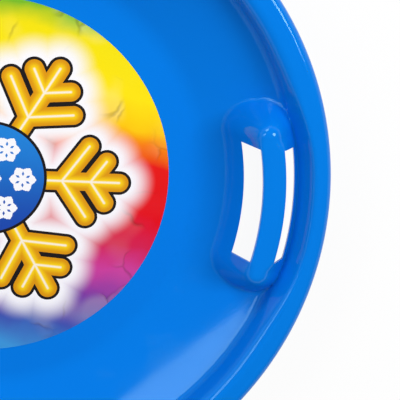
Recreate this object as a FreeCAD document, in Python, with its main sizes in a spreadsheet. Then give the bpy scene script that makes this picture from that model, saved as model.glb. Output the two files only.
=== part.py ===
import FreeCAD
import Part
import Sketcher
import math
import os

# Saucer sled: one moulded plastic shell with two grips, and a round printed label on its floor.
# Millimetres. +Z is up, the origin is the middle of the floor's underside, the grips lie on +X and -X.

doc = FreeCAD.newDocument("SaucerSled")
sheet = doc.addObject("Spreadsheet::Sheet", "Sizes")

sizes = [
    ("outer_radius", 300.0),
    ("overall_height", 69.5),
    ("wall", 2.0),
    ("floor_radius", 194.0),
    ("bend_radius", 40.0),
    ("lip_width", 28.0),
    ("lip_inner_radius", 12.0),
    ("lip_outer_radius", 8.0),
    ("skirt_depth", 9.5),
    ("skirt_flare", 1.8),
    ("cove_run", 3.0),
    ("cove_depth", 29.0),
    ("cove_radius", 10.0),
    ("grip_gap", 14.0),
    ("grip_half_length", 62.5),
    ("grip_drop", 0.5),
    ("grip_half_top", 10.0),
    ("grip_shoulder_radius", 6.0),
    ("grip_draft", 22.0),
    ("grip_foot_radius", 4.5),
    ("bar_width", 20.5),
    ("inner_slot_width", 12.0),
    ("outer_slot_width", 10.7),
    ("slot_length", 103.4),
    ("slot_corner_radius", 1.5),
    ("label_margin", 31.0),
    ("label_thickness", 0.25),
]
for row, (name, number) in enumerate(sizes, start=1):
    sheet.set("A%d" % row, name)
    sheet.set("B%d" % row, str(number))
    sheet.setAlias("B%d" % row, name)
doc.recompute()


class Size:
    """A length with its number, for placing geometry, and its text, for binding it to the sheet."""

    def __init__(self, number, text):
        self.number = float(number)
        self.text = text

    def __add__(self, other):
        other = as_size(other)
        return Size(self.number + other.number, "(%s + %s)" % (self.text, other.text))

    def __sub__(self, other):
        other = as_size(other)
        return Size(self.number - other.number, "(%s - %s)" % (self.text, other.text))

    def __mul__(self, other):
        other = as_size(other)
        return Size(self.number * other.number, "(%s * %s)" % (self.text, other.text))

    def __truediv__(self, other):
        other = as_size(other)
        return Size(self.number / other.number, "(%s / %s)" % (self.text, other.text))


def as_size(value):
    if isinstance(value, Size):
        return value
    return Size(value, "(%r)" % float(value))


def root_of(size):
    return Size(math.sqrt(size.number), "sqrt(%s)" % size.text)


def tangent_of(degrees):
    return Size(math.tan(math.radians(degrees.number)), "tan(%s)" % degrees.text)


def cell(name):
    return Size(getattr(sheet, name), "Sizes." + name)


wall = cell("wall")
outer_radius = cell("outer_radius")
overall_height = cell("overall_height")
ZERO = as_size(0.0)
CLEAR = as_size(10.0)


def bind(target, path, size):
    target.setExpression(path, size.text)


def new_sketch(body, name, plane_role):
    sketch = body.newObject("Sketcher::SketchObject", name)
    plane = [f for f in body.Origin.OriginFeatures if f.Role == plane_role][0]
    sketch.AttachmentSupport = [(plane, "")]
    sketch.MapMode = "FlatFace"
    return sketch


def constrain(sketch, kind, *args):
    """Adds a constraint. A Size as its last argument is a dimension bound to the sheet."""
    if isinstance(args[-1], Size):
        index = sketch.addConstraint(Sketcher.Constraint(kind, *args[:-1], args[-1].number))
        bind(sketch, "Constraints[%d]" % index, args[-1])
    else:
        sketch.addConstraint(Sketcher.Constraint(kind, *args))


def pin(sketch, geometry, point, x, y):
    """Holds a point of a sketch at x, y from the sketch's origin."""
    constrain(sketch, "DistanceX", -1, 1, geometry, point, x)
    constrain(sketch, "DistanceY", -1, 1, geometry, point, y)


def add_line(sketch, start, end, construction=False):
    return sketch.addGeometry(Part.LineSegment(start, end), construction)


def add_closing(sketch, first, last, corners):
    """Closes a chain with straight lines from its last end, through the corners, to its first end."""
    start_geometry, start_point = last
    start = sketch.getPoint(start_geometry, start_point)
    for x, y in corners:
        line = add_line(sketch, start, FreeCAD.Vector(x.number, y.number, 0))
        constrain(sketch, "Coincident", start_geometry, start_point, line, 1)
        pin(sketch, line, 2, x, y)
        start_geometry, start_point = line, 2
        start = sketch.getPoint(line, 2)
    line = add_line(sketch, start, sketch.getPoint(*first))
    constrain(sketch, "Coincident", start_geometry, start_point, line, 1)
    constrain(sketch, "Coincident", line, 2, first[0], first[1])


def rounded_pieces(points, radii, inset):
    """Lines and arcs of a chain with rounded corners, moved to its right hand side by the inset."""
    pieces = []
    start = None
    for i in range(len(points) - 1):
        along = (points[i + 1] - points[i]).normalize()
        right = FreeCAD.Vector(along.y, -along.x, 0)
        begin = points[i] + right * inset if start is None else start
        if i + 2 == len(points):
            pieces.append(("line", begin, points[i + 1] + right * inset))
            break
        ahead = (points[i + 2] - points[i + 1]).normalize()
        turn = along.x * ahead.y - along.y * ahead.x
        side = 1.0 if turn > 0 else -1.0
        angle = math.acos(max(-1.0, min(1.0, along.dot(ahead))))
        setback = radii[i + 1] * math.tan(angle / 2)
        centre = points[i + 1] - along * setback - right * side * radii[i + 1]
        reach = side * radii[i + 1] + inset
        touch = centre + right * reach
        leave = centre + FreeCAD.Vector(ahead.y, -ahead.x, 0) * reach
        pieces.append(("line", begin, touch))
        pieces.append(("arc", touch, leave, centre, abs(reach), side))
        start = leave
    return pieces


def add_pieces(sketch, pieces, construction):
    """Puts the lines and arcs of a chain into a sketch, each tangent to the one before it."""
    ids = []
    for piece in pieces:
        if piece[0] == "line":
            ids.append(add_line(sketch, piece[1], piece[2], construction))
            continue
        kind, touch, leave, centre, radius, side = piece
        begin, end = (touch, leave) if side > 0 else (leave, touch)
        first = math.atan2(begin.y - centre.y, begin.x - centre.x)
        last = math.atan2(end.y - centre.y, end.x - centre.x)
        circle = Part.Circle(centre, FreeCAD.Vector(0, 0, 1), radius)
        ids.append(sketch.addGeometry(Part.ArcOfCircle(circle, first, last), construction))
    for i in range(1, len(ids)):
        before_end = 2 if pieces[i - 1][0] == "line" or pieces[i - 1][5] > 0 else 1
        after_start = 1 if pieces[i][0] == "line" or pieces[i][5] > 0 else 2
        constrain(sketch, "Tangent", ids[i - 1], before_end, ids[i], after_start)
    return ids


def add_chain(sketch, corners, radii, construction):
    """A chain through the given corners, rounded by the given radii, bound to the sheet."""
    points = [FreeCAD.Vector(x.number, y.number, 0) for x, y in corners]
    numbers = [radius.number if radius else 0.0 for radius in radii]
    pieces = rounded_pieces(points, numbers, 0.0)
    ids = add_pieces(sketch, pieces, construction)
    pin(sketch, ids[0], 1, *corners[0])
    pin(sketch, ids[-1], 2, *corners[-1])
    for i in range(1, len(corners) - 1):
        arc = ids[2 * i - 1]
        constrain(sketch, "Radius", arc, radii[i])
        mark = sketch.addGeometry(Part.Point(points[i]), True)
        constrain(sketch, "PointOnObject", mark, 1, ids[2 * i - 2])
        constrain(sketch, "PointOnObject", mark, 1, ids[2 * i])
        pin(sketch, mark, 1, *corners[i])
    return ids


# The dish in section, as corners of its upper face and the radius that rounds each of them:
# floor, rising wall, cove under the lip, the lip's inner edge, its outer edge, skirt foot.
lip_start = outer_radius - cell("lip_width")
skirt_foot = overall_height - cell("skirt_depth")
dish_corners = [
    (ZERO, wall),
    (cell("floor_radius"), wall),
    (lip_start - cell("cove_run"), overall_height - cell("cove_depth")),
    (lip_start, overall_height),
    (outer_radius - cell("skirt_flare"), overall_height),
    (outer_radius, skirt_foot),
]
dish_radii = [
    None,
    cell("bend_radius"),
    cell("cove_radius"),
    cell("lip_inner_radius"),
    cell("lip_outer_radius"),
    None,
]

# A grip in section: a flat top, round shoulders and drafted flanks. It is swept round the sled's axis
# and has round ends. It stands inside the lip, and the gap runs from the lip to the flat top's corner.
grip_half_length = cell("grip_half_length")
grip_top = overall_height - cell("grip_drop")
grip_half_top = cell("grip_half_top")
grip_shoulder_radius = cell("grip_shoulder_radius")
grip_draft = cell("grip_draft")
grip_radius = lip_start - cell("grip_gap") - grip_half_top
grip_end_x = root_of(grip_radius * grip_radius - grip_half_length * grip_half_length)
grip_sweep = "2 * asin(%s)" % (grip_half_length / grip_radius).text
half_shoulder_turn = (as_size(90.0) - grip_draft) / 2


def add_grip_section(sketch, middle, inset, foot, half):
    """The outline of a grip, or of one half of it, about the line x = middle, down to the foot."""
    top = grip_top - inset
    half_top = grip_half_top - inset * tangent_of(half_shoulder_turn)
    half_foot = half_top + (top - foot) * tangent_of(grip_draft)
    shoulder = grip_shoulder_radius - inset
    if half:
        corners = [(middle + half_foot, foot), (middle + half_top, top), (middle, top)]
        radii = [None, shoulder, None]
        closing = [(middle, foot)]
    else:
        corners = [
            (middle + half_foot, foot),
            (middle + half_top, top),
            (middle - half_top, top),
            (middle - half_foot, foot),
        ]
        radii = [None, shoulder, shoulder, None]
        closing = []
    ids = add_chain(sketch, corners, radii, False)
    add_closing(sketch, (ids[0], 1), (ids[-1], 2), closing)


def add_grips(body, feature_type, name, inset, foot):
    """Adds, or cuts, the form of both grips in a body: swept middles and round ends."""
    made = []
    middle = new_sketch(body, name + "_section", "XZ_Plane")
    add_grip_section(middle, grip_radius, inset, foot, False)
    doc.recompute()
    sweep = body.newObject(feature_type, name + "_sweep")
    sweep.Profile = (middle, [""])
    sweep.ReferenceAxis = (middle, ["V_Axis"])
    sweep.Midplane = True
    sweep.setExpression("Angle", grip_sweep)
    doc.recompute()
    made.append(sweep)
    for side, sign in (("near", 1.0), ("far", -1.0)):
        end = new_sketch(body, name + "_%s_end_section" % side, "XZ_Plane")
        bind(end, "AttachmentOffset.Base.x", grip_end_x)
        bind(end, "AttachmentOffset.Base.z", grip_half_length * sign)
        add_grip_section(end, ZERO, inset, foot, True)
        doc.recompute()
        dome = body.newObject(feature_type, name + "_%s_end" % side)
        dome.Profile = (end, [""])
        dome.ReferenceAxis = (end, ["V_Axis"])
        dome.Angle = 360.0
        doc.recompute()
        made.append(dome)
    return add_pair(body, name + "_pair", made)


def add_pair(body, name, originals):
    """Repeats features on the other side of the sled's axis."""
    pair = body.newObject("PartDesign::PolarPattern", name)
    pair.Originals = originals
    pair.Axis = ([f for f in body.Origin.OriginFeatures if f.Role == "Z_Axis"][0], [""])
    pair.Angle = 360.0
    pair.Occurrences = 2
    body.Tip = pair
    doc.recompute()
    return pair


OFF_AXIS = 1.0
SAME_ANGLE = 0.01


def is_flank(face):
    """True for a grip's flank: a cone that stands off the sled's axis, or that has the grip's own draft."""
    surface = face.Surface
    if surface.TypeId != "Part::GeomCone":
        return False
    off_axis = math.hypot(surface.Apex.x, surface.Apex.y) > OFF_AXIS
    draft = abs(math.degrees(surface.SemiAngle))
    return off_axis or abs(draft - grip_draft.number) < SAME_ANGLE


def grip_foot_edges(shape, level):
    """Names of the edges where the grips' flanks run into the dish, below the given level."""
    names = []
    for number, edge in enumerate(shape.Edges, start=1):
        faces = shape.ancestorsOfType(edge, Part.Face)
        if len(faces) != 2 or edge.BoundBox.ZMax > level:
            continue
        if is_flank(faces[0]) != is_flank(faces[1]):
            names.append("Edge%d" % number)
    return names


def round_grip_feet(body, name, base, radius):
    """Rounds the inner corner all along the feet of both grips."""
    rounding = body.newObject("PartDesign::Fillet", name)
    rounding.Base = (base, grip_foot_edges(base.Shape, grip_top.number - grip_shoulder_radius.number))
    bind(rounding, "Radius", radius)
    doc.recompute()


# saucer_shell: the moulding. The upper form is built full, then hollowed from below to the wall.
shell = doc.addObject("PartDesign::Body", "saucer_shell")
shell.Label = "saucer_shell"

upper = new_sketch(shell, "dish_upper_profile", "XZ_Plane")
upper_ids = add_chain(upper, dish_corners, dish_radii, False)
add_closing(upper, (upper_ids[0], 1), (upper_ids[-1], 2), [(outer_radius, ZERO), (ZERO, ZERO)])
doc.recompute()
dish = shell.newObject("PartDesign::Revolution", "dish_upper")
dish.Profile = (upper, [""])
dish.ReferenceAxis = (upper, ["V_Axis"])
dish.Angle = 360.0
doc.recompute()

grips = add_grips(shell, "PartDesign::Revolution", "grip", ZERO, wall)
round_grip_feet(shell, "grip_feet", grips, cell("grip_foot_radius"))

# The underside runs one wall below the upper face, with the same arc centres.
under = new_sketch(shell, "dish_under_profile", "XZ_Plane")
guide_ids = add_chain(under, dish_corners, dish_radii, True)
points = [FreeCAD.Vector(x.number, y.number, 0) for x, y in dish_corners]
numbers = [radius.number if radius else 0.0 for radius in dish_radii]
under_pieces = rounded_pieces(points, numbers, wall.number)
skirt_run = (under_pieces[-1][2] - under_pieces[-1][1]).normalize()
to_foot = (skirt_foot.number - under_pieces[-1][2].y) / skirt_run.y
under_pieces[-1] = ("line", under_pieces[-1][1], under_pieces[-1][2] + skirt_run * to_foot)
under_ids = add_pieces(under, under_pieces, False)
for i, piece in enumerate(under_pieces):
    if piece[0] == "arc":
        radius = dish_radii[(i + 1) // 2]
        constrain(under, "Coincident", guide_ids[i], 3, under_ids[i], 3)
        constrain(under, "Radius", under_ids[i], radius + wall if piece[5] > 0 else radius - wall)
pin(under, under_ids[0], 1, ZERO, ZERO)
constrain(under, "Parallel", guide_ids[-1], under_ids[-1])
constrain(under, "DistanceY", -1, 1, under_ids[-1], 2, skirt_foot)
beyond = outer_radius + CLEAR
below = ZERO - CLEAR
outside = [(beyond, skirt_foot), (beyond, below), (ZERO, below)]
add_closing(under, (under_ids[0], 1), (under_ids[-1], 2), outside)
doc.recompute()
underside = shell.newObject("PartDesign::Groove", "dish_under")
underside.Profile = (under, [""])
underside.ReferenceAxis = (under, ["V_Axis"])
underside.Angle = 360.0
doc.recompute()

hollows = add_grips(shell, "PartDesign::Groove", "grip_hollow", wall, below)
round_grip_feet(shell, "grip_hollow_feet", hollows, cell("grip_foot_radius") + wall)

# Two finger slots are cut straight down through the flanks of each grip, and leave the bar between them.
slot_half = cell("slot_length") / 2
bar_half = cell("bar_width") / 2
slots = new_sketch(shell, "slot_outlines", "XY_Plane")


def add_slot(sketch, inner, outer):
    """A slot between two circles about the sled's axis, with straight ends and rounded corners."""
    origin = FreeCAD.Vector(0, 0, 0)
    upward = FreeCAD.Vector(0, 0, 1)
    corner = cell("slot_corner_radius")
    level = slot_half.number - corner.number
    line_ends = {-1.0: [], 1.0: []}
    for radius, away in ((inner, 1.0), (outer, -1.0)):
        reach = radius.number + away * corner.number
        angle = math.asin(level / reach)
        circle = Part.Circle(origin, upward, radius.number)
        side = sketch.addGeometry(Part.ArcOfCircle(circle, -angle, angle), False)
        constrain(sketch, "Coincident", side, 3, -1, 1)
        constrain(sketch, "Radius", side, radius)
        for sign in (-1.0, 1.0):
            centre = FreeCAD.Vector(reach * math.cos(angle), sign * level, 0)
            at_side = sign * angle + (math.pi if away > 0 else 0.0)
            at_line = sign * math.pi / 2
            from_line = away * sign > 0
            begin, end = (at_line, at_side) if from_line else (at_side, at_line)
            small_circle = Part.Circle(centre, upward, corner.number)
            small = sketch.addGeometry(Part.ArcOfCircle(small_circle, begin, end), False)
            constrain(sketch, "Radius", small, corner)
            constrain(sketch, "Tangent", side, 2 if sign > 0 else 1, small, 2 if from_line else 1)
            line_ends[sign].append((small, 1 if from_line else 2))
    for sign, (first, last) in line_ends.items():
        line = add_line(sketch, sketch.getPoint(*first), sketch.getPoint(*last))
        constrain(sketch, "Tangent", first[0], first[1], line, 1)
        constrain(sketch, "Tangent", last[0], last[1], line, 2)
        constrain(sketch, "Horizontal", line)
        constrain(sketch, "DistanceY", -1, 1, line, 1, slot_half * sign)


bar_inner = grip_radius - bar_half
bar_outer = grip_radius + bar_half
add_slot(slots, bar_inner - cell("inner_slot_width"), bar_inner)
add_slot(slots, bar_outer, bar_outer + cell("outer_slot_width"))
doc.recompute()
slot_cut = shell.newObject("PartDesign::Pocket", "slot_cut")
slot_cut.Profile = (slots, [""])
slot_cut.Type = "ThroughAll"
slot_cut.Reversed = True
doc.recompute()
add_pair(shell, "slot_pair", [slot_cut])

# printed_label: a thin round film that lies flat on the floor, inside the bend by its margin.
label_radius = cell("floor_radius") - cell("label_margin")
label = doc.addObject("PartDesign::Body", "printed_label")
label.Label = "printed_label"
disc = new_sketch(label, "label_outline", "XY_Plane")
bind(disc, "AttachmentOffset.Base.z", wall)
circle = Part.Circle(FreeCAD.Vector(0, 0, 0), FreeCAD.Vector(0, 0, 1), label_radius.number)
outline = disc.addGeometry(circle, False)
constrain(disc, "Coincident", outline, 3, -1, 1)
constrain(disc, "Radius", outline, label_radius)
doc.recompute()
film = label.newObject("PartDesign::Pad", "label_film")
film.Profile = (disc, [""])
bind(film, "Length", cell("label_thickness"))
label.Tip = film
doc.recompute()

for item in doc.Objects:
    if "Invalid" in item.State or "Error" in item.State:
        raise RuntimeError("%s did not build: %s" % (item.Name, item.State))

os.makedirs("parts", exist_ok=True)
for piece in (shell, label):
    if piece.Shape.isNull() or not piece.Shape.isValid() or len(piece.Shape.Solids) != 1:
        raise RuntimeError("%s has no valid single solid" % piece.Label)
    piece.Shape.exportStep("parts/%s.step" % piece.Label)
    box = piece.Shape.BoundBox
    print(piece.Label, "volume", round(piece.Shape.Volume), "z", round(box.ZMin, 3), round(box.ZMax, 3))
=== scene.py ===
# A saucer sled: one glossy blue moulding with two grips, and a round printed label on its floor.
# Metres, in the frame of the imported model: +Z is up and the grips lie on +X and -X.
import math

import bmesh
import bpy
from mathutils import Matrix, Quaternion, Vector


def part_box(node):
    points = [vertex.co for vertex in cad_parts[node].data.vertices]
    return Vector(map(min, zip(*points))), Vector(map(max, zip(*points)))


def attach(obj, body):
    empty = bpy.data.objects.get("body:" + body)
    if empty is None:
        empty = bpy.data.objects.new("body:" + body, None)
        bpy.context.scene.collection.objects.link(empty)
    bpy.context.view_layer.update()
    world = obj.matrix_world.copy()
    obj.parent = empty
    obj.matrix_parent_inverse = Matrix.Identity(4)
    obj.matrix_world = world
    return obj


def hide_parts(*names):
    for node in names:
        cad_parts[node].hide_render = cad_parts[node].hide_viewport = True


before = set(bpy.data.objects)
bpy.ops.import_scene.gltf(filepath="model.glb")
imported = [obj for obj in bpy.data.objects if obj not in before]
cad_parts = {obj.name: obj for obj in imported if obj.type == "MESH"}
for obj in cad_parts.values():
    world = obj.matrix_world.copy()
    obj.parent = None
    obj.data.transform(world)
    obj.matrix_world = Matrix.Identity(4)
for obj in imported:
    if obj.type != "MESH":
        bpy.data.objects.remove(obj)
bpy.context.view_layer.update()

# The shell is one injection moulding of blue polyethylene with a 2 mm wall.
# Floor, rising wall, rolled lip and both hollow grips run into each other without a seam.
# Two finger slots are pierced through the flanks of each grip, and leave the bar between them.
shell_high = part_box("saucer_shell")[1]
outer_radius = shell_high.x
overall_height = shell_high.z
wall = 0.0020
floor_radius = 0.1940
bend_radius = 0.0400
lip_width = 0.0280
lip_inner_radius = 0.0120
lip_outer_radius = 0.0080
skirt_depth = 0.0095
skirt_flare = 0.0018
cove_run = 0.0030
cove_depth = 0.0290
cove_radius = 0.0100
wall_sag = 0.0024
wall_curve = 0.6200
grip_gap = 0.0140
grip_half_top = 0.0100
grip_half_length = 0.0625
grip_drop = 0.0005
grip_draft = math.radians(22.0)
grip_outer_draft = math.radians(33.0)
grip_spread = 0.0375
straight_run = 0.0160
scoop_depth = 0.0215
bar_width = 0.0205
inner_slot_width = 0.0120
outer_slot_width = 0.0107
slot_half_length = 0.0517
edge_round = 0.0004
edge_segments = 2
sharp_angle = math.radians(55.0)
hairs_breadth = 0.00001

lip_start = outer_radius - lip_width
skirt_foot = overall_height - skirt_depth
grip_radius = lip_start - grip_gap - grip_half_top

wall_foot = Vector((floor_radius, wall))
wall_head = Vector((lip_start - cove_run, overall_height - cove_depth))
section_corners = [
    Vector((0.0, wall)),
    wall_foot,
    (wall_foot + wall_head) / 2 - Vector((0.0, wall_sag)),
    wall_head,
    Vector((lip_start, overall_height)),
    Vector((outer_radius - skirt_flare, overall_height)),
    Vector((outer_radius, skirt_foot)),
]
section_radii = [0.0, bend_radius, wall_curve, cove_radius, lip_inner_radius, lip_outer_radius, 0.0]


def rounded_section(inset):
    """The dish in section as lines and arcs, moved square to itself by the inset."""
    pieces = []
    start = None
    for i in range(len(section_corners) - 1):
        along = (section_corners[i + 1] - section_corners[i]).normalized()
        right = Vector((along.y, -along.x))
        begin = start or section_corners[i] + right * inset
        if i + 2 == len(section_corners):
            end = section_corners[i + 1] + right * inset
            pieces.append(("line", begin, end + along * (skirt_foot - end.y) / along.y))
            break
        ahead = (section_corners[i + 2] - section_corners[i + 1]).normalized()
        side = 1.0 if along.cross(ahead) > 0 else -1.0
        turn = math.acos(along.dot(ahead))
        radius = section_radii[i + 1]
        setback = along * radius * math.tan(turn / 2)
        centre = section_corners[i + 1] - setback - right * side * radius
        reach = side * radius + inset
        first_angle = math.atan2(right.y, right.x) + (0.0 if reach > 0 else math.pi)
        pieces.append(("line", begin, centre + right * reach))
        pieces.append(("arc", centre, abs(reach), first_angle, first_angle + side * turn))
        start = centre + Vector((ahead.y, -ahead.x)) * reach
    return pieces


def point_on(piece, share):
    """The point at a share of the length of a line or an arc."""
    if piece[0] == "line":
        return piece[1].lerp(piece[2], share)
    centre, radius, first_angle, last_angle = piece[1:]
    angle = first_angle + (last_angle - first_angle) * share
    return centre + radius * Vector((math.cos(angle), math.sin(angle)))


def share_at(piece, radius):
    """The share of an outward running line or hollow arc at a distance from the axis."""
    if piece[0] == "line":
        return (radius - piece[1].x) / (piece[2].x - piece[1].x)
    centre, arc_radius, first_angle, last_angle = piece[1:]
    angle = math.asin((radius - centre.x) / arc_radius) - math.pi / 2
    return (angle - first_angle) / (last_angle - first_angle)


def height_at(pieces, radius):
    """The height of the dish's floor, wall or cove at a distance from the axis."""
    for piece in pieces:
        if radius <= point_on(piece, 1.0).x:
            return point_on(piece, share_at(piece, radius)).y


def spread(first, last, count):
    """Even steps from the first value on, without the last one."""
    return [first + (last - first) * i / count for i in range(count)]


# The rings of the dish. Those that bound the slots lie on the slots' edges, on both faces.
upper_pieces = rounded_section(0.0)
under_pieces = rounded_section(wall)
floor_line, bend_arc = upper_pieces[:2]
flat_edge = point_on(floor_line, 1.0).x
wall_start = point_on(bend_arc, 1.0).x
grip_foot = grip_radius - grip_spread
slot_edges = [grip_radius + reach for reach in (
    -bar_width / 2 - inner_slot_width,
    -bar_width / 2,
    bar_width / 2,
    bar_width / 2 + outer_slot_width,
)]
stops = [0.0, flat_edge, wall_start, grip_foot] + slot_edges
ring_counts = [8, 6, 4, 10, 9, 14, 9]
ring_radii = []
for first, last, count in zip(stops, stops[1:], ring_counts):
    ring_radii += spread(first, last, count)
rings = [((r, height_at(upper_pieces, r)), (r, height_at(under_pieces, r))) for r in ring_radii]
cove_number = 5
cove_rings = 9
rim_counts = [6, 12, 5, 8, 3]
upper_cove, *upper_rim = upper_pieces[cove_number:]
under_cove, *under_rim = under_pieces[cove_number:]
upper_shares = spread(share_at(upper_cove, slot_edges[-1]), 1.0, cove_rings)
under_shares = spread(share_at(under_cove, slot_edges[-1]), 1.0, cove_rings)
for upper_share, under_share in zip(upper_shares, under_shares):
    rings.append((point_on(upper_cove, upper_share), point_on(under_cove, under_share)))
for upper_piece, under_piece, count in zip(upper_rim, under_rim, rim_counts):
    for share in spread(0.0, 1.0, count):
        rings.append((point_on(upper_piece, share), point_on(under_piece, share)))
rings.append((point_on(upper_pieces[-1], 1.0), point_on(under_pieces[-1], 1.0)))

section = bpy.data.meshes.new("shell_section")
chain = [(i, i + 1) for i in range(len(rings) - 1)]
section.from_pydata([(upper[0], 0.0, upper[1]) for upper, under in rings], chain, [])
under_points = section.attributes.new("under_point", "FLOAT_VECTOR", "POINT")
for item, (upper, under) in zip(under_points.data, rings):
    item.vector = (under[0], 0.0, under[1])


def feed(socket, value):
    """Links a node's output to an input, or sets the input's own value."""
    if isinstance(value, Wire):
        value = value.socket
    if isinstance(value, bpy.types.NodeSocket):
        socket.id_data.links.new(value, socket)
    else:
        socket.default_value = value


def add_node(tree, kind, inputs=None, **settings):
    """Adds a node with its options set and its inputs fed, by name or by place."""
    node = tree.nodes.new(kind)
    for name, value in settings.items():
        setattr(node, name, value)
    for key, value in (inputs or {}).items():
        feed(node.inputs[key], value)
    return node


class Wire:
    """A number that runs through a node tree. Arithmetic written with it is built as Math nodes."""

    def __init__(self, socket):
        self.socket = socket

    def maths(self, operation, *others):
        """The result of one Math node, with this number first."""
        tree = self.socket.id_data
        inputs = dict(enumerate((self,) + others))
        return Wire(add_node(tree, "ShaderNodeMath", inputs, operation=operation).outputs[0])

    def __add__(self, other):
        return self.maths("ADD", other)

    def __sub__(self, other):
        return self.maths("SUBTRACT", other)

    def __mul__(self, other):
        return self.maths("MULTIPLY", other)

    def __truediv__(self, other):
        return self.maths("DIVIDE", other)

    def __lt__(self, other):
        return self.maths("LESS_THAN", other)

    def __gt__(self, other):
        return self.maths("GREATER_THAN", other)

    def __neg__(self):
        return self * -1.0

    __radd__ = __add__
    __rmul__ = __mul__

    def __rsub__(self, other):
        return -self + other

    def root(self):
        return self.maths("SQRT")

    def size(self):
        return self.maths("ABSOLUTE")

    def ease(self, first, last):
        """Rises smoothly from 0 to 1 as the number goes from first to last."""
        tree = self.socket.id_data
        inputs = {"Value": self, "From Min": first, "From Max": last}
        node = add_node(tree, "ShaderNodeMapRange", inputs, interpolation_type="SMOOTHSTEP")
        return Wire(node.outputs[0])


def pick(choice, chosen, other):
    """One number where the choice is 1, and the other where it is 0."""
    return other + (chosen - other) * choice


dish_sizes = {
    "Turns": 432,
    "Slot lines": 32,
    "End lines": 36,
    "End reach": 0.1110,
    "Wall": wall,
    "Grip radius": grip_radius,
    "Grip half length": grip_half_length,
    "Grip top": overall_height - grip_drop,
    "Grip half top": grip_half_top,
    "Top radius": 0.0600,
    "End radius": 0.0240,
    "Draft": grip_draft,
    "Outer draft": grip_outer_draft,
    "Side rounding": 0.0050,
    "End rounding": 0.0160,
    "Dome start": 0.0500,
    "Dome full": 0.0620,
    "Foot blend": 0.0050,
    "Valley blend": 0.0050,
    "Scoop floor": overall_height - scoop_depth,
    "Scoop radius": 0.2735,
    "Scoop slope": math.radians(66.0),
    "Scoop blend": 0.0080,
    "Scoop start": 0.0350,
    "Scoop end": 0.1450,
    "Scoop run out": 0.0100,
    "Bar width": bar_width,
    "Inner slot width": inner_slot_width,
    "Outer slot width": outer_slot_width,
    "Slot half length": slot_half_length,
}
dish_tree = bpy.data.node_groups.new("moulded_dish", "GeometryNodeTree")
dish_tree.interface.new_socket("Section", in_out="INPUT", socket_type="NodeSocketGeometry")
for name, value in dish_sizes.items():
    kind = "NodeSocketInt" if isinstance(value, int) else "NodeSocketFloat"
    dish_tree.interface.new_socket(name, in_out="INPUT", socket_type=kind)
dish_tree.interface.new_socket("Finish", in_out="INPUT", socket_type="NodeSocketMaterial")
dish_tree.interface.new_socket("Shell", in_out="OUTPUT", socket_type="NodeSocketGeometry")
given = add_node(dish_tree, "NodeGroupInput").outputs
dish = {name: Wire(given[name]) for name in dish_sizes}

# A grid of rings and of lines across them. The lines crowd at the grips,
# and one lies on each slot's end. Away from the grips they fan out from the middle of the dish.
ring_total = add_node(dish_tree, "GeometryNodeAttributeDomainSize", {"Geometry": given["Section"]})
line_total = dish["Turns"] + 1
grid = add_node(dish_tree, "GeometryNodeMeshGrid", {
    "Vertices X": ring_total.outputs["Point Count"],
    "Vertices Y": line_total,
})
number = Wire(add_node(dish_tree, "GeometryNodeInputIndex").outputs[0])
ring = ((number + 0.5) / line_total).maths("FLOOR")
quarter = dish["Turns"] / 4
phase = (number - ring * line_total) / quarter
line = phase.maths("PINGPONG", 1.0) * quarter
side_x = (phase * (math.pi / 2)).maths("COSINE").maths("SIGN")
side_y = (phase * (math.pi / 2)).maths("SINE").maths("SIGN")
along_slot = line / dish["Slot lines"] * dish["Slot half length"]
past_slot = (line - dish["Slot lines"]) / dish["End lines"]
past_slot = dish["Slot half length"] + past_slot * (dish["End reach"] - dish["Slot half length"])
line_offset = pick(line > dish["Slot lines"], past_slot, along_slot)
grip_turn = (line_offset / dish["Grip radius"]).maths("MINIMUM", 1.0).maths("ARCSINE")
fine_lines = dish["Slot lines"] + dish["End lines"]
last_turn = (dish["End reach"] / dish["Grip radius"]).maths("ARCSINE")
wide_turn = last_turn + (line - fine_lines) / (quarter - fine_lines) * (math.pi / 2 - last_turn)
sine = pick(line > fine_lines, wide_turn, grip_turn).maths("SINE")
fan_start = 0.45
fan_full = 0.80
far_from_grip = sine.ease(fan_start, fan_full)
end_y = dish["Grip half length"]
end_x = (dish["Grip radius"] * dish["Grip radius"] - end_y * end_y).root()
inner_run = dish["Draft"].maths("TANGENT")
outer_run = dish["Outer draft"].maths("TANGENT")
scoop_rise = dish["Scoop slope"].maths("TANGENT")


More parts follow.
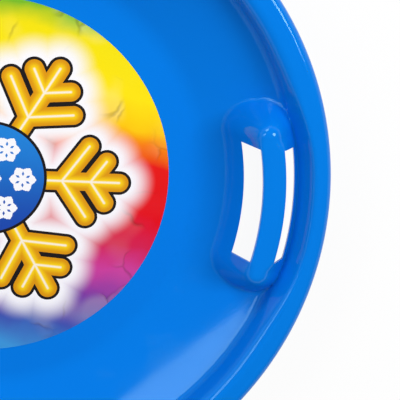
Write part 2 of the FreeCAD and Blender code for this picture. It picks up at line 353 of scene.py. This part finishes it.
def moulded_face(ring_value, inset):
    """Where a grid point lies on a face of the shell: on the dish, or on a grip above it."""
    sample = add_node(dish_tree, "GeometryNodeSampleIndex", {
        "Geometry": given["Section"],
        "Value": ring_value,
        "Index": ring,
    }, data_type="FLOAT_VECTOR")
    spot = add_node(dish_tree, "ShaderNodeSeparateXYZ", {0: sample.outputs[0]})
    radius = Wire(spot.outputs["X"])
    height = Wire(spot.outputs["Z"])
    straight = radius.ease(grip_foot - straight_run, grip_foot) * (1.0 - far_from_grip)
    across = pick(straight, dish["Grip radius"] * sine, radius * sine)
    along = (radius * radius - across * across).maths("MAXIMUM", 0.0).root()
    beside_middle = (across * end_x) < (along * end_y)
    from_end = ((along - end_x) * (along - end_x) + (across - end_y) * (across - end_y)).root()
    away = pick(beside_middle, (radius - dish["Grip radius"]).size(), from_end)
    run_out = across.ease(dish["Scoop start"], dish["Scoop end"]) * dish["Scoop run out"]
    past_foot = radius - dish["Scoop radius"] + run_out
    riser = past_foot * scoop_rise - (scoop_rise * scoop_rise + 1.0).root() * inset
    scoop = dish["Scoop floor"] + riser.maths("MAXIMUM", -inset)
    height = height.maths("SMOOTH_MIN", scoop, dish["Scoop blend"])
    outward = (radius - dish["Grip radius"]) / away.maths("MAXIMUM", hairs_breadth)
    run = pick(outward.maths("MAXIMUM", 0.0), outer_run, inner_run)
    at_end = across.ease(dish["Dome start"], dish["Dome full"])
    top_radius = pick(at_end, dish["End radius"], dish["Top radius"])
    on_top = dish["Grip top"] - inset - away * away / top_radius * 0.5
    past_edge = away - dish["Grip half top"] + (run * run + 1.0).root() * inset
    on_flank = dish["Grip top"] - past_edge / run
    rounding = pick(at_end, dish["End rounding"], dish["Side rounding"])
    ridge = on_top.maths("SMOOTH_MIN", on_flank, rounding)
    valley = radius.ease(dish["Grip radius"], dish["Grip radius"] + dish["Grip half top"] * 2.0)
    blend = pick(valley, dish["Valley blend"], dish["Foot blend"])
    return add_node(dish_tree, "ShaderNodeCombineXYZ", {
        "X": along * side_x,
        "Y": across * side_y,
        "Z": height.maths("SMOOTH_MAX", ridge, blend),
    }).outputs[0]


position = add_node(dish_tree, "GeometryNodeInputPosition").outputs[0]
section_under = add_node(
    dish_tree, "GeometryNodeInputNamedAttribute", {"Name": "under_point"}, data_type="FLOAT_VECTOR"
).outputs[0]
stored = add_node(dish_tree, "GeometryNodeStoreNamedAttribute", {
    "Geometry": grid.outputs["Mesh"],
    "Name": "under_spot",
    "Value": moulded_face(section_under, dish["Wall"]),
}, data_type="FLOAT_VECTOR", domain="POINT")
raised = add_node(dish_tree, "GeometryNodeSetPosition", {
    "Geometry": stored.outputs[0],
    "Position": moulded_face(position, 0.0),
})

# The slots are left out of both faces, and every open edge is closed down to the underside.
spot = add_node(dish_tree, "ShaderNodeSeparateXYZ", {0: position})
spot_x, spot_y = Wire(spot.outputs["X"]), Wire(spot.outputs["Y"])
off_bar = (spot_x * spot_x + spot_y * spot_y).root() - dish["Grip radius"]
from_bar = off_bar.size() - dish["Bar width"] / 2
slot_reach = pick(off_bar > 0.0, dish["Outer slot width"], dish["Inner slot width"])
in_slot = (from_bar > 0.0) * (from_bar < slot_reach) * (spot_y.size() < dish["Slot half length"])
pierced = add_node(dish_tree, "GeometryNodeDeleteGeometry", {
    "Geometry": raised.outputs[0],
    "Selection": in_slot,
}, domain="FACE")
upper_face = add_node(dish_tree, "GeometryNodeMergeByDistance", {
    "Geometry": pierced.outputs[0],
    "Distance": hairs_breadth,
})
faces_at_edge = Wire(add_node(dish_tree, "GeometryNodeInputMeshEdgeNeighbors").outputs[0])
edge_walls = add_node(dish_tree, "GeometryNodeExtrudeMesh", {
    "Mesh": upper_face.outputs[0],
    "Selection": faces_at_edge < 2.0,
    "Offset Scale": 0.0,
}, mode="EDGES")
under_spot = add_node(
    dish_tree, "GeometryNodeInputNamedAttribute", {"Name": "under_spot"}, data_type="FLOAT_VECTOR"
).outputs[0]
upper_and_walls = add_node(dish_tree, "GeometryNodeSetPosition", {
    "Geometry": edge_walls.outputs["Mesh"],
    "Selection": edge_walls.outputs["Top"],
    "Position": under_spot,
})
lowered = add_node(dish_tree, "GeometryNodeSetPosition", {
    "Geometry": upper_face.outputs[0],
    "Position": under_spot,
})
under_face = add_node(dish_tree, "GeometryNodeFlipFaces", {"Mesh": lowered.outputs[0]})
both_faces = add_node(dish_tree, "GeometryNodeJoinGeometry", {0: upper_and_walls.outputs[0]})
feed(both_faces.inputs[0], under_face.outputs[0])
closed = add_node(dish_tree, "GeometryNodeMergeByDistance", {
    "Geometry": both_faces.outputs[0],
    "Distance": hairs_breadth,
})
smooth = add_node(dish_tree, "GeometryNodeSetShadeSmooth", {0: closed.outputs[0]})
realized = add_node(dish_tree, "GeometryNodeRealizeInstances", {0: smooth.outputs[0]})
finished = add_node(dish_tree, "GeometryNodeSetMaterial", {
    "Geometry": realized.outputs[0],
    "Material": given["Finish"],
})
add_node(dish_tree, "NodeGroupOutput", {"Shell": finished.outputs[0]})

# Handling leaves cloudy patches and short fine scratches, and every surface has a slight grain.
haze_scale = 14.0
haze_start = 0.35
haze_full = 0.75
scratch_turns = (0.3, 1.9)
scratch_stretch = (24.0, 520.0, 24.0)
scratch_width = 0.02
scratched_scale = 19.0
scratched_start = 0.52
scratched_full = 0.66
grain_scale = 700.0
wear_tree = bpy.data.node_groups.new("handling_wear", "ShaderNodeTree")
wear_tree.interface.new_socket("Place", in_out="INPUT", socket_type="NodeSocketVector")
for name in ("Haze", "Scratches", "Grain"):
    wear_tree.interface.new_socket(name, in_out="OUTPUT", socket_type="NodeSocketFloat")
wear_place = add_node(wear_tree, "NodeGroupInput").outputs["Place"]


def noise_at(tree, place, scale, detail):
    """Soft random values about one half, with the given number of spots to the metre."""
    inputs = {"Vector": place, "Scale": scale, "Detail": detail}
    return Wire(add_node(tree, "ShaderNodeTexNoise", inputs).outputs[0])


haze = noise_at(wear_tree, wear_place, haze_scale, detail=4.0).ease(haze_start, haze_full)
scratches = None
for turn in scratch_turns:
    stretched = add_node(wear_tree, "ShaderNodeMapping", {
        "Vector": wear_place,
        "Rotation": (0.0, 0.0, turn),
        "Scale": scratch_stretch,
    })
    off_middle = (noise_at(wear_tree, stretched.outputs[0], 1.0, detail=1.0) - 0.5).size()
    scratched_here = noise_at(wear_tree, wear_place, scratched_scale + turn, detail=2.0)
    scratched_here = scratched_here.ease(scratched_start, scratched_full)
    lines = (1.0 - off_middle.ease(0.0, scratch_width)) * scratched_here
    scratches = lines if scratches is None else scratches.maths("MAXIMUM", lines)
add_node(wear_tree, "NodeGroupOutput", {
    "Haze": haze,
    "Scratches": scratches,
    "Grain": noise_at(wear_tree, wear_place, grain_scale, detail=2.0),
})


def overlay(tree, share, under, over):
    """A colour laid over another one by a share."""
    mix = add_node(tree, "ShaderNodeMix", {0: share}, data_type="RGBA")
    feed(mix.inputs[6], under)
    feed(mix.inputs[7], over)
    return mix.outputs[2]


def ink(*tones):
    """A colour from its red, green and blue as they look on a screen, 0 to 255."""
    return tuple(((tone / 255 + 0.055) / 1.055) ** 2.4 for tone in tones) + (1.0,)


deep_blue = ink(0, 120, 222)
clear_blue = ink(0, 124, 226)
flow_scale = 9.0
flow_depth = 2.0
grain_depth = 0.10
scratch_depth = 0.12
bump_strength = 0.12
bump_distance = 0.0006
moulded_gloss = 0.045
haze_dulling = 0.02
scratch_dulling = 0.12
moulded_shine = 0.28
shine_tint = (0.55, 1.0, 1.0, 1.0)
moulded_blue = bpy.data.materials.new("moulded_blue")
moulded_blue.use_nodes = True
blue_tree = moulded_blue.node_tree
blue_shader = blue_tree.nodes["Principled BSDF"]
blue_place = add_node(blue_tree, "ShaderNodeTexCoord").outputs["Object"]
blue_wear = add_node(
    blue_tree, "ShaderNodeGroup", {"Place": blue_place}, node_tree=wear_tree
).outputs
blue_haze = Wire(blue_wear["Haze"])
blue_scratches = Wire(blue_wear["Scratches"])
blue_grain = Wire(blue_wear["Grain"])
flow = noise_at(blue_tree, blue_place, flow_scale, detail=2.0)
blue_bump = add_node(blue_tree, "ShaderNodeBump", {
    "Strength": bump_strength,
    "Distance": bump_distance,
    "Height": flow * flow_depth + blue_grain * grain_depth - blue_scratches * scratch_depth,
})
blue_dulling = blue_haze * haze_dulling + blue_scratches * scratch_dulling
feed(blue_shader.inputs["Base Color"], overlay(blue_tree, flow, deep_blue, clear_blue))
feed(blue_shader.inputs["Roughness"], blue_dulling + moulded_gloss)
feed(blue_shader.inputs["Normal"], blue_bump.outputs[0])
blue_shader.inputs["Specular IOR Level"].default_value = moulded_shine
blue_shader.inputs["Specular Tint"].default_value = shine_tint

pattern = bpy.data.objects.new("shell_section", section)
bpy.context.scene.collection.objects.link(pattern)
rule = pattern.modifiers.new("moulded_dish", "NODES")
rule.node_group = dish_tree
for item in dish_tree.interface.items_tree:
    if item.name in dish_sizes:
        rule[item.identifier] = dish_sizes[item.name]
    if item.name == "Finish":
        rule[item.identifier] = moulded_blue
shaped = pattern.evaluated_get(bpy.context.evaluated_depsgraph_get())
shell_mesh = bpy.data.meshes.new_from_object(shaped)
bpy.data.objects.remove(pattern)
shell = bpy.data.objects.new("moulded_shell", shell_mesh)
bpy.context.scene.collection.objects.link(shell)
shell_faces = bmesh.new()
shell_faces.from_mesh(shell_mesh)
bmesh.ops.recalc_face_normals(shell_faces, faces=shell_faces.faces)
shell_faces.to_mesh(shell_mesh)
shell_faces.free()
edge_rounding = shell.modifiers.new("edge_rounding", "BEVEL")
edge_rounding.width = edge_round
edge_rounding.segments = edge_segments
edge_rounding.limit_method = "ANGLE"
edge_rounding.angle_limit = sharp_angle
edge_rounding.harden_normals = True
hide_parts("saucer_shell")
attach(shell, "root")

# The label is one round printed film, stuck flat on the floor of the shell.
# Its print is a rainbow on a creased sheet,
# and a golden ice flake round a blue roundel of small flakes.
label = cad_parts["printed_label"]
label_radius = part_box("printed_label")[1].x

flake_tree = bpy.data.node_groups.new("ice_flake", "ShaderNodeTree")
for name in ("Right", "Up", "Reach"):
    flake_tree.interface.new_socket(name, in_out="INPUT", socket_type="NodeSocketFloat")
flake_tree.interface.new_socket("Distance", in_out="OUTPUT", socket_type="NodeSocketFloat")
flake_given = add_node(flake_tree, "NodeGroupInput").outputs
flake_reach = Wire(flake_given["Reach"])
arm_turn = math.pi / 6
twig_lean = math.radians(55.0)
twig_starts_and_lengths = ((0.56, 0.34), (0.78, 0.20))


def folded(right, up):
    """The place of a point along and beside the nearest of six arms."""
    turn = up.maths("ARCTAN2", right).maths("PINGPONG", arm_turn)
    away = (right * right + up * up).root()
    return away * turn.maths("COSINE"), away * turn.maths("SINE")


arm_along, arm_beside = folded(Wire(flake_given["Right"]), Wire(flake_given["Up"]))


def from_twig(start, lean, length):
    """How far a point is from a straight twig that leaves the arm at a share of its reach."""
    past_start = arm_along - flake_reach * start
    along = past_start * math.cos(lean) + arm_beside * math.sin(lean)
    beside = arm_beside * math.cos(lean) - past_start * math.sin(lean)
    past = along - along.maths("MAXIMUM", 0.0).maths("MINIMUM", flake_reach * length)
    return (past * past + beside * beside).root()


flake_distance = from_twig(0.0, 0.0, 1.0)
for twig_start, twig_length in twig_starts_and_lengths:
    twig = from_twig(twig_start, twig_lean, twig_length)
    flake_distance = flake_distance.maths("MINIMUM", twig)
add_node(flake_tree, "NodeGroupOutput", {"Distance": flake_distance})

label_print = bpy.data.materials.new("label_print")
label_print.use_nodes = True
label_tree = label_print.node_tree
label_shader = label_tree.nodes["Principled BSDF"]
label_place = add_node(label_tree, "ShaderNodeTexCoord").outputs["Object"]
label_spot = add_node(label_tree, "ShaderNodeSeparateXYZ", {0: label_place}).outputs
label_x = Wire(label_spot["X"])
label_y = Wire(label_spot["Y"])
label_wear = add_node(
    label_tree, "ShaderNodeGroup", {"Place": label_place}, node_tree=wear_tree
).outputs


def from_flake(right, up, reach):
    """How far a point of the label is from the middle lines of a flake."""
    inputs = {"Right": right, "Up": up, "Reach": reach}
    return Wire(add_node(label_tree, "ShaderNodeGroup", inputs, node_tree=flake_tree).outputs[0])


rainbow = (
    (0.02, ink(60, 150, 215)),
    (0.12, ink(62, 84, 175)),
    (0.21, ink(128, 60, 162)),
    (0.30, ink(205, 62, 155)),
    (0.38, ink(214, 30, 80)),
    (0.47, ink(230, 0, 24)),
    (0.61, ink(234, 20, 16)),
    (0.66, ink(250, 125, 0)),
    (0.71, ink(255, 200, 0)),
    (0.80, ink(255, 228, 0)),
    (0.94, ink(245, 226, 0)),
    (1.00, ink(120, 188, 40)),
)
rainbow_lean = 0.15
cloud_scale = 16.0
cloud_depth = 0.12
cloud = noise_at(label_tree, label_place, cloud_scale, detail=3.0) - 0.5
level = (label_y + label_x * rainbow_lean) / (label_radius * 2)
rainbow_level = level + cloud * cloud_depth + 0.5
rainbow_ramp = add_node(label_tree, "ShaderNodeValToRGB", {"Fac": rainbow_level})
rainbow_stops = rainbow_ramp.color_ramp.elements
for place, colour in rainbow[1:-1]:
    rainbow_stops.new(place)
for stop, (place, colour) in zip(rainbow_stops, rainbow):
    stop.position = place
    stop.color = colour

crumple_scale = 26.0
crumple_reach = 0.03
cell_scale = 24.0
crease_width = 0.05
creased_scale = 21.0
creased_start = 0.50
creased_full = 0.68
facet_strength = 0.18
crease_strength = 0.35
facet_tone = ink(255, 250, 225)
crease_tone = ink(70, 40, 20)
crumple_noise = add_node(label_tree, "ShaderNodeTexNoise", {
    "Vector": label_place,
    "Scale": crumple_scale,
    "Detail": 3.0,
})
crumple_shift = add_node(label_tree, "ShaderNodeVectorMath", {
    0: crumple_noise.outputs["Color"],
    "Scale": crumple_reach,
}, operation="SCALE")
crumple_place = add_node(label_tree, "ShaderNodeVectorMath", {
    0: label_place,
    1: crumple_shift.outputs[0],
}, operation="ADD")
cell_inputs = {"Vector": crumple_place.outputs[0], "Scale": cell_scale}
facets = add_node(label_tree, "ShaderNodeTexVoronoi", cell_inputs)
creases = add_node(label_tree, "ShaderNodeTexVoronoi", cell_inputs, feature="DISTANCE_TO_EDGE")
facet_tones = add_node(label_tree, "ShaderNodeSeparateColor", {0: facets.outputs["Color"]})
facet_shade = Wire(facet_tones.outputs[0])
crease_lines = 1.0 - Wire(creases.outputs["Distance"]).ease(0.0, crease_width)
creased_here = noise_at(label_tree, label_place, creased_scale, detail=1.0)
creased_here = creased_here.ease(creased_start, creased_full)
facet_share = facet_shade * creased_here * facet_strength
crease_share = crease_lines * creased_here * crease_strength
sheet = overlay(label_tree, facet_share, rainbow_ramp.outputs[0], facet_tone)
sheet = overlay(label_tree, crease_share, sheet, crease_tone)

large_flake_reach = 0.1180
small_flake_reach = 0.0105
small_flake_ring = 0.0310
arm_half = 0.0085
small_arm_half = 0.0016
outline_width = 0.0026
glow_width = 0.0260
roundel_radius = 0.0500
gold_edge = 0.0010
shine_start = arm_half * 0.80
shine_share = 0.80
label_gloss = 0.30
label_haze_dulling = 0.10
label_scratch_dulling = 0.15
label_shine = 0.25
black = ink(28, 24, 26)
white = ink(250, 248, 250)
dark_gold = ink(222, 150, 8)
bright_gold = ink(255, 216, 20)
night_blue = ink(24, 70, 170)
day_blue = ink(30, 130, 215)
off_arms = from_flake(label_x, label_y, large_flake_reach) - arm_half
off_roundel = (label_x * label_x + label_y * label_y).root() - roundel_radius
off_motif = off_arms.maths("MINIMUM", off_roundel)
ring_along, ring_beside = folded(label_x, label_y)
off_middle_flake = from_flake(label_x, label_y, small_flake_reach)
off_ring_flakes = from_flake(ring_along - small_flake_ring, ring_beside, small_flake_reach)
off_small = off_middle_flake.maths("MINIMUM", off_ring_flakes)
in_arms = -off_arms
gold = overlay(label_tree, in_arms.ease(gold_edge, arm_half), dark_gold, bright_gold)
gold = overlay(label_tree, in_arms.ease(shine_start, arm_half) * shine_share, gold, white)
roundel_rise = label_y.ease(-roundel_radius, roundel_radius)
roundel_blue = overlay(label_tree, roundel_rise, night_blue, day_blue)
glow = 1.0 - off_motif.ease(outline_width, glow_width)
print_colour = sheet
for share, colour in (
    (glow, white),
    (off_arms < outline_width, black),
    (off_arms < 0.0, gold),
    (off_roundel < outline_width, black),
    (off_roundel < 0.0, roundel_blue),
    (off_small < small_arm_half, white),
):
    print_colour = overlay(label_tree, share, print_colour, colour)
label_haze = Wire(label_wear["Haze"])
label_scratches = Wire(label_wear["Scratches"])
label_dulling = label_haze * label_haze_dulling + label_scratches * label_scratch_dulling
feed(label_shader.inputs["Base Color"], print_colour)
feed(label_shader.inputs["Roughness"], label_dulling + label_gloss)
label_shader.inputs["Specular IOR Level"].default_value = label_shine
label.data.materials.clear()
label.data.materials.append(label_print)

# The stage is a sheet of white paper in a studio with pale walls, a dark ceiling and three lamps.
# The left lamp shows as the pale fin on the wall, the right one as the bright line on the rim,
# and the back one lights the grips' ends. The camera stands where the photograph was taken.
floor_half = 6.0
floor_height = -0.0005
floor_signs = ((-1, -1), (1, -1), (1, 1), (-1, 1))
floor_corners = [(x * floor_half, y * floor_half, floor_height) for x, y in floor_signs]
floor_mesh = bpy.data.meshes.new("studio_floor")
floor_mesh.from_pydata(floor_corners, [], [(0, 1, 2, 3)])
floor = bpy.data.objects.new("studio_floor", floor_mesh)
bpy.context.scene.collection.objects.link(floor)


def seen_plainly(tree):
    """1 for what the camera sees, straight, mirrored or through glass, and 0 for other light."""
    rays = add_node(tree, "ShaderNodeLightPath").outputs
    seen = Wire(rays["Is Camera Ray"]).maths("MAXIMUM", rays["Is Glossy Ray"])
    return seen.maths("MAXIMUM", rays["Is Transmission Ray"])


paper_tone = (0.9, 0.9, 0.9, 1.0)
paper_roughness = 0.9
plain_share = 0.93
full_white = (1.0, 1.0, 1.0, 1.0)
paper = bpy.data.materials.new("white_paper")
paper.use_nodes = True
paper_tree = paper.node_tree
paper_shader = paper_tree.nodes["Principled BSDF"]
paper_shader.inputs["Base Color"].default_value = paper_tone
paper_shader.inputs["Roughness"].default_value = paper_roughness
plain_white = add_node(paper_tree, "ShaderNodeEmission", {"Color": full_white, "Strength": 1.0})
paper_mix = add_node(paper_tree, "ShaderNodeMixShader", {0: seen_plainly(paper_tree) * plain_share})
feed(paper_mix.inputs[1], paper_shader.outputs[0])
feed(paper_mix.inputs[2], plain_white.outputs[0])
feed(paper_tree.nodes["Material Output"].inputs[0], paper_mix.outputs[0])
floor_mesh.materials.append(paper)

sky_light = 0.30
ceiling_look = 0.12
walls_look = 1.0
ceiling_start = 0.28
ceiling_full = 0.45
world = bpy.data.worlds.new("studio")
bpy.context.scene.world = world
world.use_nodes = True
sky_tree = world.node_tree
sky_way = add_node(sky_tree, "ShaderNodeTexCoord").outputs["Generated"]
sky_rise = Wire(add_node(sky_tree, "ShaderNodeSeparateXYZ", {0: sky_way}).outputs["Z"])
sky_look = pick(sky_rise.ease(ceiling_start, ceiling_full), ceiling_look, walls_look)
sky = sky_tree.nodes["Background"]
sky.inputs["Color"].default_value = full_white
feed(sky.inputs["Strength"], pick(seen_plainly(sky_tree), sky_look, sky_light))

lamp_distance = 2.0


def add_softbox(name, azimuth, elevation, roll, width, height, radiance):
    """A rectangular lamp that looks at the middle of the sled. Its angles are in degrees."""
    azimuth, elevation, roll = map(math.radians, (azimuth, elevation, roll))
    towards = Vector((
        math.cos(elevation) * math.cos(azimuth),
        math.cos(elevation) * math.sin(azimuth),
        math.sin(elevation),
    ))
    facing = towards.to_track_quat("Z", "Y") @ Quaternion((0.0, 0.0, 1.0), roll)
    lamp = bpy.data.lights.new(name, "AREA")
    lamp.shape = "RECTANGLE"
    lamp.size = width
    lamp.size_y = height
    lamp.energy = radiance * math.pi * width * height
    box = bpy.data.objects.new(name, lamp)
    box.location = towards * lamp_distance
    box.rotation_euler = facing.to_euler()
    bpy.context.scene.collection.objects.link(box)


add_softbox(
    "left_softbox", azimuth=158.0, elevation=50.7, roll=-22.9, width=1.06, height=0.60, radiance=5.3
)
add_softbox(
    "right_softbox", azimuth=22.0, elevation=52.0, roll=45.0, width=0.58, height=0.58, radiance=16.5
)
add_softbox(
    "back_softbox", azimuth=106.0, elevation=32.0, roll=0.0, width=0.85, height=0.60, radiance=9.2
)

view_right = Vector((0.983881, 0.080697, 0.159580))
view_down = Vector((0.034862, -0.961824, 0.271438))
view_forward = Vector((0.175393, -0.261499, -0.949134))
view_place = (-0.05605, 0.35900, 1.35326)
camera_data = bpy.data.cameras.new("photo_camera")
camera_data.lens = 139.693
camera_data.sensor_width = 36.0
camera = bpy.data.objects.new("photo_camera", camera_data)
bpy.context.scene.collection.objects.link(camera)
turned = Matrix((view_right, -view_down, -view_forward)).transposed().to_4x4()
camera.matrix_world = Matrix.Translation(view_place) @ turned
bpy.context.scene.camera = camera
bpy.context.scene.view_settings.view_transform = "Standard"
